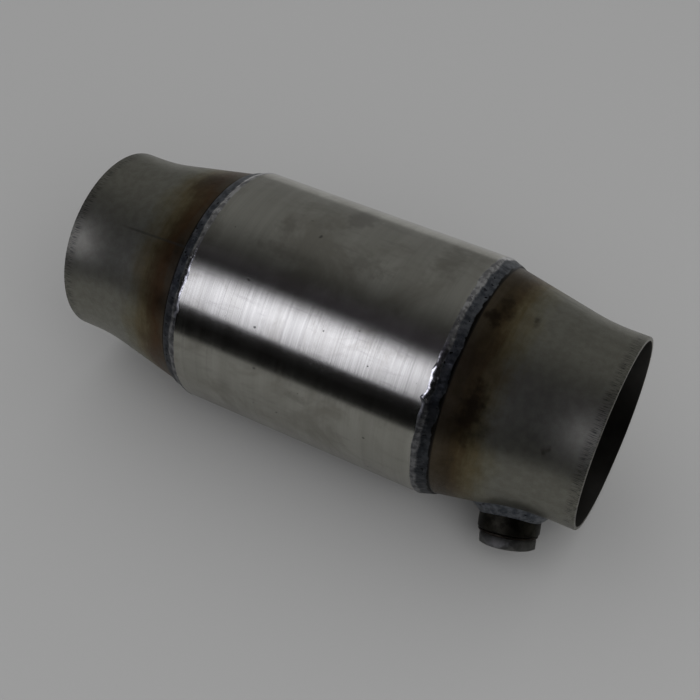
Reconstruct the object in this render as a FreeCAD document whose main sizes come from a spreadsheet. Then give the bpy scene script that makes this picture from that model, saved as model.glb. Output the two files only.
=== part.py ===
import FreeCAD, Part
import math
import os

import Sketcher

# Round metallic catalytic converter for a 3 inch exhaust pipe.
# It lies with its axis along X and +Z up, resting on the can's skin and on a corner of the plug.
# The origin is on the can's axis, half way between the two mouths.
# +X points to the inlet mouth, the end that carries the sensor boss.

DIMENSIONS = [
    # overall
    ("overall_length", 234.0),
    # can: rolled and linished stainless tube, its two edges bevelled for welding
    ("can_diameter", 101.6),
    ("can_length", 110.0),
    ("can_wall", 1.5),
    ("bevel_length", 1.3),
    ("bevel_depth", 0.65),
    # cones: spun sheet, from a straight collar at the mouth to a spigot inside the can
    ("mouth_diameter", 80.4),
    ("collar_length", 7.0),
    ("collar_radius", 86.0),
    ("cone_angle", 11.17),
    ("spigot_radius", 8.0),
    ("spigot_diameter", 98.4),
    ("spigot_length", 6.0),
    ("cone_wall", 1.5),
    ("rim_break", 0.3),
    # girth welds: one run of filler at each end of the can
    ("bead_reach", 5.2),
    ("bead_crown", 0.5),
    ("bead_root", 0.8),
    # sensor boss and its blanking plug, on the inlet cone
    ("boss_distance", 27.5),
    ("boss_angle", 41.65),
    ("boss_diameter", 25.0),
    ("boss_height", 9.3),
    ("boss_chamfer", 0.5),
    ("boss_sink", 3.0),
    ("boss_bore", 17.0),
    ("port_hole", 19.0),
    ("boss_weld_leg", 3.6),
    ("washer_bore", 18.2),
    ("washer_diameter", 24.2),
    ("washer_thickness", 1.3),
    ("washer_round", 0.4),
    ("hex_across_flats", 22.0),
    ("hex_height", 4.72),
    ("hex_turn", 14.3),
    ("hex_chamfer", 1.2),
    ("thread_diameter", 16.9),
    ("thread_length", 12.2),
    ("thread_lead", 1.0),
    # catalyst: flat and corrugated foil wound together into a mantle
    ("mantle_diameter", 98.4),
    ("mantle_wall", 1.5),
    ("foil_length", 90.0),
    ("foil_thickness", 0.4),
    ("foil_clearance", 0.2),
    ("winding_start", 2.6),
    ("winding_pitch", 4.2),
    ("cell_pitch", 6.4),
]

doc = FreeCAD.newDocument("catalytic_converter")
sheet = doc.addObject("Spreadsheet::Sheet", "Dimensions")
for row, (alias, value) in enumerate(DIMENSIONS, start=1):
    sheet.set(f"A{row}", alias)
    sheet.set(f"B{row}", str(value))
    sheet.setAlias(f"B{row}", alias)
doc.recompute()

X_AXIS = FreeCAD.Vector(1, 0, 0)
Z_AXIS = FreeCAD.Vector(0, 0, 1)


def size(alias):
    """The value of one cell of the sheet, in millimetres or degrees."""
    return float(sheet.get(alias))


def point(along, out):
    """A point of a sketch: along the axis, and out from it."""
    return FreeCAD.Vector(along, out, 0)


def new_body(name):
    """An empty body whose label is the sub-part's name."""
    body = doc.addObject("PartDesign::Body", name)
    body.Label = name
    return body


def new_sketch(body, name, plane_role):
    """A sketch attached to one of the body's own origin planes."""
    sketch = body.newObject("Sketcher::SketchObject", name)
    planes = [item for item in body.Origin.OriginFeatures if item.Role == plane_role]
    sketch.AttachmentSupport = [(planes[0], "")]
    sketch.MapMode = "FlatFace"
    return sketch


def bind(sketch, constraint, expression):
    """Adds a constraint and binds its value to the sheet."""
    index = sketch.addConstraint(constraint)
    sketch.setExpression(f"Constraints[{index}]", expression)


def join(sketch, first, first_end, second, second_end):
    """Makes the ends of two lines of a sketch meet."""
    sketch.addConstraint(Sketcher.Constraint("Coincident", first, first_end, second, second_end))


def revolve(body, sketch, name):
    """A full turn of the sketch about the can's axis."""
    feature = body.newObject("PartDesign::Revolution", name)
    feature.Profile = sketch
    feature.ReferenceAxis = (sketch, ["H_Axis"])
    feature.Angle = 360.0
    body.Tip = feature
    return feature


# ---------------------------------------------------------------- shell of the can and cones

def cone_corners():
    """Corners of the cone's outer line, worked out from the sheet, as a start for the sketch."""
    slope = math.radians(size("cone_angle"))
    mouth = size("overall_length") / 2
    mouth_radius = size("mouth_diameter") / 2
    collar_end = mouth - size("collar_length")
    flare = size("collar_radius")
    turn = size("spigot_radius")
    spigot = size("spigot_diameter") / 2
    spigot_tip = size("can_length") / 2 - size("spigot_length")
    flare_end = point(collar_end - flare * math.sin(slope), mouth_radius + flare * (1 - math.cos(slope)))
    turn_out = spigot - turn * (1 - math.cos(slope))
    turn_start = point(flare_end.x - (turn_out - flare_end.y) / math.tan(slope), turn_out)
    turn_centre = point(turn_start.x - turn * math.sin(slope), spigot - turn)
    return {
        "mouth": point(mouth, mouth_radius),
        "collar_end": point(collar_end, mouth_radius),
        "flare_centre": point(collar_end, mouth_radius + flare),
        "flare_end": flare_end,
        "turn_start": turn_start,
        "turn_centre": turn_centre,
        "spigot_start": point(turn_centre.x, spigot),
        "spigot_tip": point(spigot_tip, spigot),
    }


def solid_cone(name):
    """The space that a cone encloses, as one solid turned from its outer line."""
    at = cone_corners()
    slope = math.radians(size("cone_angle"))
    quarter = math.pi / 2
    flare_circle = Part.Circle(at["flare_centre"], Z_AXIS, size("collar_radius"))
    turn_circle = Part.Circle(at["turn_centre"], Z_AXIS, size("spigot_radius"))
    axis_mouth = point(at["mouth"].x, 0)
    axis_tip = point(at["spigot_tip"].x, 0)

    body = new_body(name)
    sketch = new_sketch(body, name + "_outline", "XZ_Plane")
    collar = sketch.addGeometry(Part.LineSegment(at["mouth"], at["collar_end"]))
    flare = sketch.addGeometry(Part.ArcOfCircle(flare_circle, 3 * quarter - slope, 3 * quarter))
    taper = sketch.addGeometry(Part.LineSegment(at["flare_end"], at["turn_start"]))
    turn = sketch.addGeometry(Part.ArcOfCircle(turn_circle, quarter - slope, quarter))
    spigot = sketch.addGeometry(Part.LineSegment(at["spigot_start"], at["spigot_tip"]))
    tip = sketch.addGeometry(Part.LineSegment(at["spigot_tip"], axis_tip))
    axis = sketch.addGeometry(Part.LineSegment(axis_tip, axis_mouth))
    mouth = sketch.addGeometry(Part.LineSegment(axis_mouth, at["mouth"]))

    # the collar, flare, taper, turn and spigot run into each other smoothly
    smooth_joints = [
        (collar, 2, flare, 2),
        (flare, 1, taper, 1),
        (taper, 2, turn, 1),
        (turn, 2, spigot, 1),
    ]
    for first, first_end, second, second_end in smooth_joints:
        sketch.addConstraint(Sketcher.Constraint("Tangent", first, first_end, second, second_end))
    join(sketch, spigot, 2, tip, 1)
    join(sketch, tip, 2, axis, 1)
    join(sketch, axis, 2, mouth, 1)
    join(sketch, mouth, 2, collar, 1)
    for level in (collar, spigot):
        sketch.addConstraint(Sketcher.Constraint("Horizontal", level))
    for upright in (tip, mouth):
        sketch.addConstraint(Sketcher.Constraint("Vertical", upright))
    sketch.addConstraint(Sketcher.Constraint("PointOnObject", axis, 1, -1))
    sketch.addConstraint(Sketcher.Constraint("PointOnObject", axis, 2, -1))

    bind(sketch, Sketcher.Constraint("DistanceX", -1, 1, collar, 1, at["mouth"].x),
         "Dimensions.overall_length / 2")
    bind(sketch, Sketcher.Constraint("DistanceY", -1, 1, collar, 1, at["mouth"].y),
         "Dimensions.mouth_diameter / 2")
    bind(sketch, Sketcher.Constraint("DistanceX", collar, 2, collar, 1, size("collar_length")),
         "Dimensions.collar_length")
    bind(sketch, Sketcher.Constraint("Radius", flare, size("collar_radius")),
         "Dimensions.collar_radius")
    bind(sketch, Sketcher.Constraint("Angle", taper, math.pi - slope),
         "180 - Dimensions.cone_angle")
    bind(sketch, Sketcher.Constraint("Radius", turn, size("spigot_radius")),
         "Dimensions.spigot_radius")
    bind(sketch, Sketcher.Constraint("DistanceY", -1, 1, spigot, 2, at["spigot_tip"].y),
         "Dimensions.spigot_diameter / 2")
    bind(sketch, Sketcher.Constraint("DistanceX", -1, 1, spigot, 2, at["spigot_tip"].x),
         "Dimensions.can_length / 2 - Dimensions.spigot_length")
    revolve(body, sketch, name + "_turned")
    doc.recompute()
    return body


def hollow_cone(name):
    """A cone shelled to its sheet thickness, open at the mouth and at the spigot."""
    body = solid_cone(name)
    turned = body.Tip
    open_faces = []
    for number, face in enumerate(turned.Shape.Faces, start=1):
        if isinstance(face.Surface, Part.Plane):
            open_faces.append(f"Face{number}")
    shell = body.newObject("PartDesign::Thickness", name + "_wall")
    shell.Base = (turned, open_faces)
    shell.Reversed = True
    shell.Join = 0
    shell.setExpression("Value", "Dimensions.cone_wall")
    body.Tip = shell
    doc.recompute()

    # the outer edge of the mouth is broken after the end is cut square
    rim = []
    for number, edge in enumerate(shell.Shape.Edges, start=1):
        if not isinstance(edge.Curve, Part.Circle):
            continue
        at_mouth = abs(edge.Curve.Center.x - size("overall_length") / 2) < 1e-4
        if at_mouth and abs(edge.Curve.Radius - size("mouth_diameter") / 2) < 1e-4:
            rim.append(f"Edge{number}")
    broken = body.newObject("PartDesign::Chamfer", name + "_rim_broken")
    broken.Base = (shell, rim)
    broken.setExpression("Size", "Dimensions.rim_break")
    body.Tip = broken
    return body


def make_can():
    """The can: a ring section with both outer edges bevelled, turned about the axis."""
    half = size("can_length") / 2
    outside = size("can_diameter") / 2
    inside = outside - size("can_wall")
    flat = half - size("bevel_length")
    bevelled = outside - size("bevel_depth")
    corners = [
        point(-half, inside),
        point(half, inside),
        point(half, bevelled),
        point(flat, outside),
        point(-flat, outside),
        point(-half, bevelled),
    ]
    body = new_body("can")
    sketch = new_sketch(body, "can_section", "XZ_Plane")
    lines = []
    for start, end in zip(corners, corners[1:] + corners[:1]):
        lines.append(sketch.addGeometry(Part.LineSegment(start, end)))
    bore, inlet_edge, inlet_bevel, skin, outlet_bevel, outlet_edge = lines
    for first, second in zip(lines, lines[1:] + lines[:1]):
        join(sketch, first, 2, second, 1)
    for upright in (inlet_edge, outlet_edge):
        sketch.addConstraint(Sketcher.Constraint("Vertical", upright))
    sketch.addConstraint(Sketcher.Constraint("Symmetric", bore, 1, bore, 2, -2))
    sketch.addConstraint(Sketcher.Constraint("Symmetric", skin, 1, skin, 2, -2))
    sketch.addConstraint(Sketcher.Constraint("Equal", inlet_edge, outlet_edge))
    bind(sketch, Sketcher.Constraint("DistanceX", bore, 1, bore, 2, 2 * half),
         "Dimensions.can_length")
    bind(sketch, Sketcher.Constraint("DistanceY", -1, 1, skin, 1, outside),
         "Dimensions.can_diameter / 2")
    bind(sketch, Sketcher.Constraint("DistanceY", -1, 1, bore, 1, inside),
         "Dimensions.can_diameter / 2 - Dimensions.can_wall")
    bind(sketch, Sketcher.Constraint("DistanceX", inlet_bevel, 2, inlet_bevel, 1, half - flat),
         "Dimensions.bevel_length")
    bind(sketch, Sketcher.Constraint("DistanceY", inlet_bevel, 1, inlet_bevel, 2, outside - bevelled),
         "Dimensions.bevel_depth")
    revolve(body, sketch, "can_turned")
    return body


def make_bead(name, can, cone):
    """A girth weld: a crowned run of filler from the cone's skin up to the can's bevelled edge.

    The run is turned a little too deep, and the can and the cone are then cut out of it, so
    that it fills the corner between them exactly.
    """
    at = cone_corners()
    slope = math.tan(math.radians(size("cone_angle")))
    edge = size("can_length") / 2
    toe_along = edge + size("bead_reach")
    toe = point(toe_along, at["turn_start"].y - (toe_along - at["turn_start"].x) * slope)
    crest = point(edge - size("bevel_length"), size("can_diameter") / 2)
    root = size("bead_root")
    can_root = point(edge, size("spigot_diameter") / 2 - root)
    toe_root = point(toe.x - root, toe.y - root)

    # the crown is an arc through the two toes, standing bead_crown proud of the line between them
    chord = toe - crest
    outward = point(-chord.y, chord.x).normalize()
    crown = size("bead_crown")
    crown_radius = (chord.Length / 2) ** 2 / (2 * crown) + crown / 2
    centre = (toe + crest) * 0.5 + outward * (crown - crown_radius)
    crown_circle = Part.Circle(centre, Z_AXIS, crown_radius)
    toe_turn = math.atan2(toe.y - centre.y, toe.x - centre.x)
    crest_turn = math.atan2(crest.y - centre.y, crest.x - centre.x)

    body = new_body(name + "_run")
    sketch = new_sketch(body, name + "_section", "XZ_Plane")
    cap = sketch.addGeometry(Part.ArcOfCircle(crown_circle, toe_turn, crest_turn))
    can_side = sketch.addGeometry(Part.LineSegment(crest, can_root))
    floor = sketch.addGeometry(Part.LineSegment(can_root, toe_root))
    cone_side = sketch.addGeometry(Part.LineSegment(toe_root, toe))
    join(sketch, cap, 2, can_side, 1)
    join(sketch, can_side, 2, floor, 1)
    join(sketch, floor, 2, cone_side, 1)
    join(sketch, cone_side, 2, cap, 1)
    bind(sketch, Sketcher.Constraint("DistanceX", -1, 1, cap, 1, toe.x),
         "Dimensions.can_length / 2 + Dimensions.bead_reach")
    bind(sketch, Sketcher.Constraint("DistanceX", -1, 1, cap, 2, crest.x),
         "Dimensions.can_length / 2 - Dimensions.bevel_length")
    bind(sketch, Sketcher.Constraint("DistanceY", -1, 1, cap, 2, crest.y),
         "Dimensions.can_diameter / 2")
    sketch.addConstraint(Sketcher.Constraint("DistanceY", -1, 1, cap, 1, toe.y))
    sketch.addConstraint(Sketcher.Constraint("Radius", cap, crown_radius))
    bind(sketch, Sketcher.Constraint("DistanceX", -1, 1, floor, 1, can_root.x),
         "Dimensions.can_length / 2")
    bind(sketch, Sketcher.Constraint("DistanceY", -1, 1, floor, 1, can_root.y),
         "Dimensions.spigot_diameter / 2 - Dimensions.bead_root")
    sketch.addConstraint(Sketcher.Constraint("DistanceX", floor, 2, cap, 1, root))
    sketch.addConstraint(Sketcher.Constraint("DistanceY", floor, 2, cap, 1, root))
    revolve(body, sketch, name + "_turned")

    neighbours = doc.addObject("Part::Fuse", name + "_neighbours")
    neighbours.Base = can
    neighbours.Tool = cone
    bead = doc.addObject("Part::Cut", name)
    bead.Base = body
    bead.Tool = neighbours
    bead.Label = name
    return bead


can = make_can()
cone_space = solid_cone("cone_space")
inlet_blank = hollow_cone("inlet_blank")

# the outlet cone is the same pressing, turned end for end
outlet_cone = hollow_cone("outlet_cone")
outlet_cone.Placement = FreeCAD.Placement(FreeCAD.Vector(), FreeCAD.Rotation(Z_AXIS, 180))

inlet_weld = make_bead("inlet_weld", can, inlet_blank)
outlet_weld = make_bead("outlet_weld", can, inlet_blank)
outlet_weld.Placement = FreeCAD.Placement(FreeCAD.Vector(), FreeCAD.Rotation(Z_AXIS, 180))


# ---------------------------------------------------------------- sensor boss and blanking plug

# The seat is a point on the inlet cone's skin. Its own Z axis is square to the skin, pointing out.
SEAT_ALONG = "Dimensions.overall_length / 2 - Dimensions.boss_distance"
SEAT_OUT = (
    "Dimensions.mouth_diameter / 2 + (Dimensions.boss_distance - Dimensions.collar_length"
    " - Dimensions.collar_radius * tan(Dimensions.cone_angle / 2)) * tan(Dimensions.cone_angle)"
)


def on_seat(item, height="0", turn="0"):
    """Places an item square on the cone's skin at the boss, raised and turned about the boss's axis."""
    item.setExpression(
        "Placement",
        "placement(vector(0; 0; 0); rotation(vector(1; 0; 0); 180 - Dimensions.boss_angle))"
        f" * placement(vector({SEAT_ALONG}; 0; {SEAT_OUT});"
        " rotation(vector(0; 1; 0); Dimensions.cone_angle))"
        f" * placement(vector(0; 0; {height}); rotation(vector(0; 0; 1); {turn}))",
    )


def round_bar(name, diameter, height, base):
    """A plain cylinder square to the seat, from its base height up."""
    bar = doc.addObject("Part::Cylinder", name)
    bar.setExpression("Radius", f"({diameter}) / 2")
    bar.setExpression("Height", height)
    on_seat(bar, base)
    return bar


def cut(name, base, tool):
    """The base with the tool taken away."""
    result = doc.addObject("Part::Cut", name)
    result.Base = base
    result.Tool = tool
    result.Label = name
    return result


def two_circles(body, name, outer, inner):
    """A ring-shaped sketch on the body's XY plane."""
    sketch = new_sketch(body, name, "XY_Plane")
    for diameter in (outer, inner):
        circle = sketch.addGeometry(Part.Circle(FreeCAD.Vector(), Z_AXIS, size(diameter) / 2))
        sketch.addConstraint(Sketcher.Constraint("Coincident", circle, 3, -1, 1))
        bind(sketch, Sketcher.Constraint("Diameter", circle, size(diameter)),
             f"Dimensions.{diameter}")
    return sketch


def edges_at_height(shape, height):
    """Names of the edges that lie wholly at one height."""
    names = []
    for number, edge in enumerate(shape.Edges, start=1):
        box = edge.BoundBox
        if abs(box.ZMin - height) < 1e-4 and abs(box.ZMax - height) < 1e-4:
            names.append(f"Edge{number}")
    return names


# the hole through the cone's wall, under the boss
port = round_bar("port", "Dimensions.port_hole", "2 * Dimensions.boss_sink", "-Dimensions.boss_sink")
inlet_cone = cut("inlet_cone", inlet_blank, port)


def make_sensor_boss():
    """The boss: a threaded ring whose foot is shaped to sit down on the cone."""
    body = new_body("boss_ring")
    sketch = two_circles(body, "boss_section", "boss_diameter", "boss_bore")
    pad = body.newObject("PartDesign::Pad", "boss_pad")
    pad.Profile = sketch
    pad.setExpression("Length", "Dimensions.boss_height + Dimensions.boss_sink")
    doc.recompute()
    chamfer = body.newObject("PartDesign::Chamfer", "boss_chamfered")
    top = size("boss_height") + size("boss_sink")
    chamfer.Base = (pad, edges_at_height(pad.Shape, top))
    chamfer.setExpression("Size", "Dimensions.boss_chamfer")
    body.Tip = chamfer
    on_seat(body, "-Dimensions.boss_sink")
    return cut("sensor_boss", body, cone_space)


def make_sealing_washer():
    """The crushed copper ring under the plug's head."""
    body = new_body("sealing_washer")
    sketch = two_circles(body, "washer_section", "washer_diameter", "washer_bore")
    pad = body.newObject("PartDesign::Pad", "washer_pad")
    pad.Profile = sketch
    pad.setExpression("Length", "Dimensions.washer_thickness")
    doc.recompute()
    rounded = body.newObject("PartDesign::Fillet", "washer_rounded")
    outer = []
    for number, edge in enumerate(pad.Shape.Edges, start=1):
        if abs(edge.BoundBox.XMax - size("washer_diameter") / 2) < 1e-3 and edge.BoundBox.ZLength < 1e-4:
            outer.append(f"Edge{number}")
    rounded.Base = (pad, outer)
    rounded.setExpression("Radius", "Dimensions.washer_round")
    body.Tip = rounded
    on_seat(body, "Dimensions.boss_height")
    return body


def make_blanking_plug():
    """The plug: a hexagon head with its corners turned off, on a threaded shank.

    The thread is a plain cylinder at about its pitch diameter, M18 by 1.5.
    """
    body = new_body("blanking_plug")
    flat = size("hex_across_flats")
    corner = flat / math.sqrt(3)

    head_sketch = new_sketch(body, "hex_section", "XY_Plane")
    corners = []
    for step in range(6):
        angle = math.radians(60 * step)
        corners.append(FreeCAD.Vector(corner * math.cos(angle), corner * math.sin(angle), 0))
    sides = []
    for start, end in zip(corners, corners[1:] + corners[:1]):
        sides.append(head_sketch.addGeometry(Part.LineSegment(start, end)))
    for first, second in zip(sides, sides[1:] + sides[:1]):
        join(head_sketch, first, 2, second, 1)
    for first, second in zip(sides, sides[1:]):
        head_sketch.addConstraint(Sketcher.Constraint("Equal", first, second))
    guide = head_sketch.addGeometry(Part.Circle(FreeCAD.Vector(), Z_AXIS, corner), True)
    head_sketch.addConstraint(Sketcher.Constraint("Coincident", guide, 3, -1, 1))
    for side in sides:
        head_sketch.addConstraint(Sketcher.Constraint("PointOnObject", side, 1, guide))
    head_sketch.addConstraint(Sketcher.Constraint("PointOnObject", sides[0], 1, -1))
    bind(head_sketch, Sketcher.Constraint("Radius", guide, corner),
         "Dimensions.hex_across_flats / sqrt(3)")
    head = body.newObject("PartDesign::Pad", "hex_head")
    head.Profile = head_sketch
    head.setExpression("Length", "Dimensions.hex_height")

    shank_sketch = new_sketch(body, "shank_section", "XY_Plane")
    circle = shank_sketch.addGeometry(Part.Circle(FreeCAD.Vector(), Z_AXIS, size("thread_diameter") / 2))
    shank_sketch.addConstraint(Sketcher.Constraint("Coincident", circle, 3, -1, 1))
    bind(shank_sketch, Sketcher.Constraint("Diameter", circle, size("thread_diameter")),
         "Dimensions.thread_diameter")
    shank = body.newObject("PartDesign::Pad", "shank")
    shank.Profile = shank_sketch
    shank.Reversed = True
    shank.setExpression("Length", "Dimensions.thread_length")
    body.Tip = shank
    doc.recompute()

    lead = body.newObject("PartDesign::Chamfer", "thread_lead_in")
    lead.Base = (shank, edges_at_height(shank.Shape, -size("thread_length")))
    lead.setExpression("Size", "Dimensions.thread_lead")
    body.Tip = lead

    # a cone turned over the head takes the corners off at 30 degrees
    doc.recompute()
    trim_sketch = new_sketch(body, "corner_trim", "XZ_Plane")
    top = size("hex_height")
    start_out = corner - size("hex_chamfer") * math.sqrt(3)
    clear_out = flat * 0.75
    start = point(start_out, top)
    clear_top = point(clear_out, top)
    clear_foot = point(clear_out, top - (clear_out - start_out) / math.sqrt(3))
    level = trim_sketch.addGeometry(Part.LineSegment(start, clear_top))
    upright = trim_sketch.addGeometry(Part.LineSegment(clear_top, clear_foot))
    slant = trim_sketch.addGeometry(Part.LineSegment(clear_foot, start))
    join(trim_sketch, level, 2, upright, 1)
    join(trim_sketch, upright, 2, slant, 1)
    join(trim_sketch, slant, 2, level, 1)
    trim_sketch.addConstraint(Sketcher.Constraint("Horizontal", level))
    trim_sketch.addConstraint(Sketcher.Constraint("Vertical", upright))
    bind(trim_sketch, Sketcher.Constraint("DistanceY", -1, 1, level, 1, top),
         "Dimensions.hex_height")
    bind(trim_sketch, Sketcher.Constraint("DistanceX", -1, 1, level, 1, start_out),
         "Dimensions.hex_across_flats / sqrt(3) - Dimensions.hex_chamfer * sqrt(3)")
    bind(trim_sketch, Sketcher.Constraint("DistanceX", -1, 1, level, 2, clear_out),
         "Dimensions.hex_across_flats * 0.75")
    trim_sketch.addConstraint(Sketcher.Constraint("Angle", slant, math.radians(150)))
    groove = body.newObject("PartDesign::Groove", "corners_turned_off")
    groove.Profile = trim_sketch
    groove.ReferenceAxis = (trim_sketch, ["V_Axis"])
    groove.Angle = 360.0
    body.Tip = groove
    on_seat(body, "Dimensions.boss_height + Dimensions.washer_thickness", "Dimensions.hex_turn")
    return body


def make_boss_weld():
    """The fillet weld round the boss's foot, following the saddle where it meets the cone."""
    full_bar = round_bar("weld_guide", "Dimensions.boss_diameter",
                         "Dimensions.boss_height + Dimensions.boss_sink", "-Dimensions.boss_sink")
    doc.recompute()
    joined = cone_space.Shape.fuse(full_bar.Shape)
    saddle = []
    for edge in joined.Edges:
        middle = edge.valueAt((edge.FirstParameter + edge.LastParameter) / 2)
        ends = [middle] + [vertex.Point for vertex in edge.Vertexes]
        near_bar = all(full_bar.Shape.distToShape(Part.Vertex(end))[0] < 1e-3 for end in ends)
        near_cone = all(cone_space.Shape.distToShape(Part.Vertex(end))[0] < 1e-3 for end in ends)
        if near_bar and near_cone:
            saddle.append(edge)
    welded = joined.makeChamfer(size("boss_weld_leg"), saddle)
    weld = doc.addObject("Part::Feature", "boss_weld")
    weld.Label = "boss_weld"
    weld.Shape = welded.cut(cone_space.Shape).cut(full_bar.Shape)
    return weld


sensor_boss = make_sensor_boss()
sealing_washer = make_sealing_washer()
blanking_plug = make_blanking_plug()
doc.recompute()
boss_weld = make_boss_weld()


# ---------------------------------------------------------------- wound foil catalyst

def make_mantle():
    """The mantle: the tube that the wound foils are brazed into, held between the two spigots."""
    mantle = new_body("substrate_mantle")
    sketch = new_sketch(mantle, "mantle_section", "YZ_Plane")
    outer = sketch.addGeometry(Part.Circle(FreeCAD.Vector(), Z_AXIS, size("mantle_diameter") / 2))
    inner_radius = size("mantle_diameter") / 2 - size("mantle_wall")
    inner = sketch.addGeometry(Part.Circle(FreeCAD.Vector(), Z_AXIS, inner_radius))
    for circle in (outer, inner):
        sketch.addConstraint(Sketcher.Constraint("Coincident", circle, 3, -1, 1))
    bind(sketch, Sketcher.Constraint("Diameter", outer, size("mantle_diameter")),
         "Dimensions.mantle_diameter")
    bind(sketch, Sketcher.Constraint("Radius", inner, inner_radius),
         "Dimensions.mantle_diameter / 2 - Dimensions.mantle_wall")
    pad = mantle.newObject("PartDesign::Pad", "mantle_tube")
    pad.Profile = sketch
    pad.Midplane = True
    pad.setExpression("Length", "Dimensions.can_length - 2 * Dimensions.spigot_length")
    mantle.Tip = pad
    return mantle


def winding_radius(turn_angle):
    """Middle of the flat foil's thickness, after it has wound through an angle in radians."""
    return size("winding_start") + size("winding_pitch") * turn_angle / (2 * math.pi)


def winding_end():
    """Angle at which the outermost turn of foil meets the mantle's bore."""
    bore = size("mantle_diameter") / 2 - size("mantle_wall")
    last = bore - size("foil_thickness") / 2 - size("foil_clearance")
    return (last - size("winding_start")) / size("winding_pitch") * 2 * math.pi


def foil_strip(name, inner_line, outer_line):
    """One foil: the strip between two lines of (angle, radius), as long as the foil is wide."""
    def on_section(angle, radius):
        across = radius * math.cos(angle)
        up = radius * math.sin(angle)
        return FreeCAD.Vector(-size("foil_length") / 2, across, up)

    outline = [on_section(*step) for step in inner_line]
    outline += [on_section(*step) for step in reversed(outer_line)]
    outline.append(outline[0])
    section = Part.Face(Part.makePolygon(outline))
    foil = doc.addObject("Part::Feature", name)
    foil.Label = name
    foil.Shape = section.extrude(X_AXIS * size("foil_length"))
    return foil


def make_flat_foil():
    """The flat foil: a plain spiral of even pitch from the core to the mantle."""
    thickness = size("foil_thickness")
    end = winding_end()
    steps = int(end / math.radians(9))
    angles = [end * step / steps for step in range(steps + 1)]
    inner_line = [(angle, winding_radius(angle) - thickness / 2) for angle in angles]
    outer_line = [(angle, winding_radius(angle) + thickness / 2) for angle in angles]
    return foil_strip("flat_foil", inner_line, outer_line)


def make_corrugated_foil():
    """The corrugated foil: a zigzag that fills the gap between each turn of flat foil and the next.

    Its folds are evenly spaced along the winding, so each turn holds more cells than the last.
    """
    thickness = size("foil_thickness")
    pitch = size("winding_pitch")
    fold = size("cell_pitch") / 2
    gap = size("foil_clearance")
    wave = pitch - thickness
    slope_thickness = thickness * math.hypot(wave, fold) / fold
    trough = thickness / 2 + gap + slope_thickness / 2
    crest = pitch - thickness / 2 - gap - slope_thickness / 2
    end = winding_end() - 2 * math.pi
    angle = 0.0
    high = False
    middle_line = []
    while angle < end:
        middle_line.append((angle, winding_radius(angle) + (crest if high else trough)))
        angle += fold / (winding_radius(angle) + pitch / 2)
        high = not high
    inner_line = [(angle, radius - slope_thickness / 2) for angle, radius in middle_line]
    outer_line = [(angle, radius + slope_thickness / 2) for angle, radius in middle_line]
    return foil_strip("corrugated_foil", inner_line, outer_line)


substrate_mantle = make_mantle()
flat_foil = make_flat_foil()
corrugated_foil = make_corrugated_foil()
doc.recompute()


# ---------------------------------------------------------------- checks and files

SUB_PARTS = [
    can,
    inlet_cone,
    outlet_cone,
    inlet_weld,
    outlet_weld,
    sensor_boss,
    boss_weld,
    sealing_washer,
    blanking_plug,
    substrate_mantle,
    flat_foil,
    corrugated_foil,
]

for item in doc.Objects:
    faults = {"Invalid", "Error"} & set(item.State)
    if faults:
        raise RuntimeError(f"{item.Label} did not compute: {sorted(faults)}")
for item in SUB_PARTS:
    if item.Shape.isNull() or not item.Shape.isValid():
        raise RuntimeError(f"{item.Label} has no valid shape")

os.makedirs("parts", exist_ok=True)
for item in SUB_PARTS:
    item.Shape.exportStep(f"parts/{item.Label}.step")
    box = item.Shape.BoundBox
    print(f"{item.Label}: {len(item.Shape.Solids)} solid, volume {item.Shape.Volume:.1f} mm3, "
          f"X {box.XMin:.2f} to {box.XMax:.2f}, Z {box.ZMin:.2f} to {box.ZMax:.2f}")
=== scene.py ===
import bpy
import bmesh
from math import atan2, cos, exp, hypot, pi, radians, sin, tan
from mathutils import Matrix, Vector, noise


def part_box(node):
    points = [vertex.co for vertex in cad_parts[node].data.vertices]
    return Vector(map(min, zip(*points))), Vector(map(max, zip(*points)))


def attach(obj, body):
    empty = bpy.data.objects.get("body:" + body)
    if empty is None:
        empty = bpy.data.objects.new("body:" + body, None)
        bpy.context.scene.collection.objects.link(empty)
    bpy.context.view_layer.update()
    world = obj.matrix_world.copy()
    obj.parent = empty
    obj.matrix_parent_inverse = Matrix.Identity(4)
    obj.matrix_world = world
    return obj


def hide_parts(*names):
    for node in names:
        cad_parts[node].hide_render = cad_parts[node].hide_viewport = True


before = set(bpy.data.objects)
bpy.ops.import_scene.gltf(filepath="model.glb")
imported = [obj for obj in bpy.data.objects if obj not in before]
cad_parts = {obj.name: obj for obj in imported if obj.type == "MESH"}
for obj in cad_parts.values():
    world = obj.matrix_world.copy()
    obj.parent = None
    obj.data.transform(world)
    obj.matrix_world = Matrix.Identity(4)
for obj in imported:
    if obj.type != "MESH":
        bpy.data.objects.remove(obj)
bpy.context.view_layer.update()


# ------------------------------------------------------------------ can
# The body is a length of 4 inch stainless tube, its two edges bevelled for the girth welds.
# A belt linished it while it turned, so all its scratches run round it.

mm = 0.001
can_low, can_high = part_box("can")
can_end = can_high.x
can_radius = can_high.z
can_wall = 1.5 * mm
bevel_length = 1.3 * mm
bevel_depth = 0.65 * mm


def turned(outline, steps=288):
    """A bmesh turned about the X axis from a closed outline of points (x, radius)."""
    bm = bmesh.new()
    points = [bm.verts.new((x, 0, radius)) for x, radius in outline]
    for start, end in zip(points, points[1:] + points[:1]):
        bm.edges.new((start, end))
    bmesh.ops.spin(bm, geom=bm.verts[:] + bm.edges[:], cent=(0, 0, 0), axis=(1, 0, 0),
                   angle=2 * pi, steps=steps, use_merge=True, use_duplicate=False)
    bmesh.ops.recalc_face_normals(bm, faces=bm.faces)
    return bm


def placed(bm, name):
    """Puts a bmesh into the scene as an object of its own, at the origin."""
    mesh = bpy.data.meshes.new(name)
    bm.to_mesh(mesh)
    bm.free()
    piece = bpy.data.objects.new(name, mesh)
    bpy.context.scene.collection.objects.link(piece)
    return piece


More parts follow.
